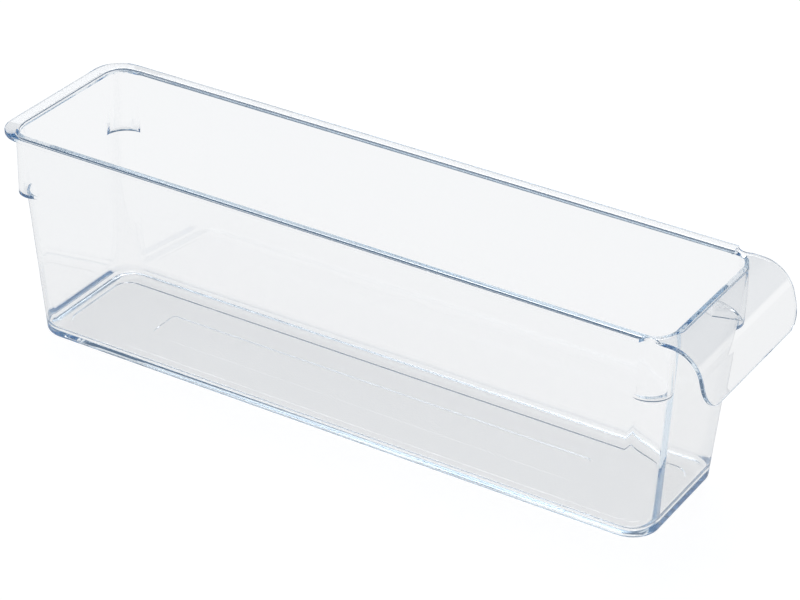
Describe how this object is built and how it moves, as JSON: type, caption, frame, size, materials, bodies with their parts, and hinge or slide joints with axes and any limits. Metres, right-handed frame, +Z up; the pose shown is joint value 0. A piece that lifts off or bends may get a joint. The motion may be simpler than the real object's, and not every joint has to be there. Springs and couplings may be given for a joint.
{
  "type": "fridge drawer organizer bin",
  "caption": "Long narrow clear plastic bin for a fridge shelf, with drafted walls, a flat rim, stacking shoulders at the corners and a bent finger pull at one end.",
  "frame": {"origin": "centre of the flat underside of the bin body", "axes": "+X towards the pull end, +Y towards the right side, +Z up"},
  "size_m": [0.3684, 0.094, 0.108],
  "materials": {
    "clear_plastic": "clear glossy, faint blue in the edges"
  },
  "bodies": {
    "root": {"floor_panel": "clear_plastic", "left_wall": "clear_plastic", "right_wall": "clear_plastic", "back_wall": "clear_plastic", "front_wall": "clear_plastic", "front_left_corner": "clear_plastic", "front_right_corner": "clear_plastic", "back_left_corner": "clear_plastic", "back_right_corner": "clear_plastic", "front_left_shoulder": "clear_plastic", "front_right_shoulder": "clear_plastic", "back_left_shoulder": "clear_plastic", "back_right_shoulder": "clear_plastic", "left_rim": "clear_plastic", "right_rim": "clear_plastic", "back_rim": "clear_plastic", "front_rim": "clear_plastic", "front_left_rim_corner": "clear_plastic", "front_right_rim_corner": "clear_plastic", "back_left_rim_corner": "clear_plastic", "back_right_rim_corner": "clear_plastic", "pull_bend": "clear_plastic", "pull_apron": "clear_plastic", "pull_rib": "clear_plastic"}
  },
  "joints": []
}
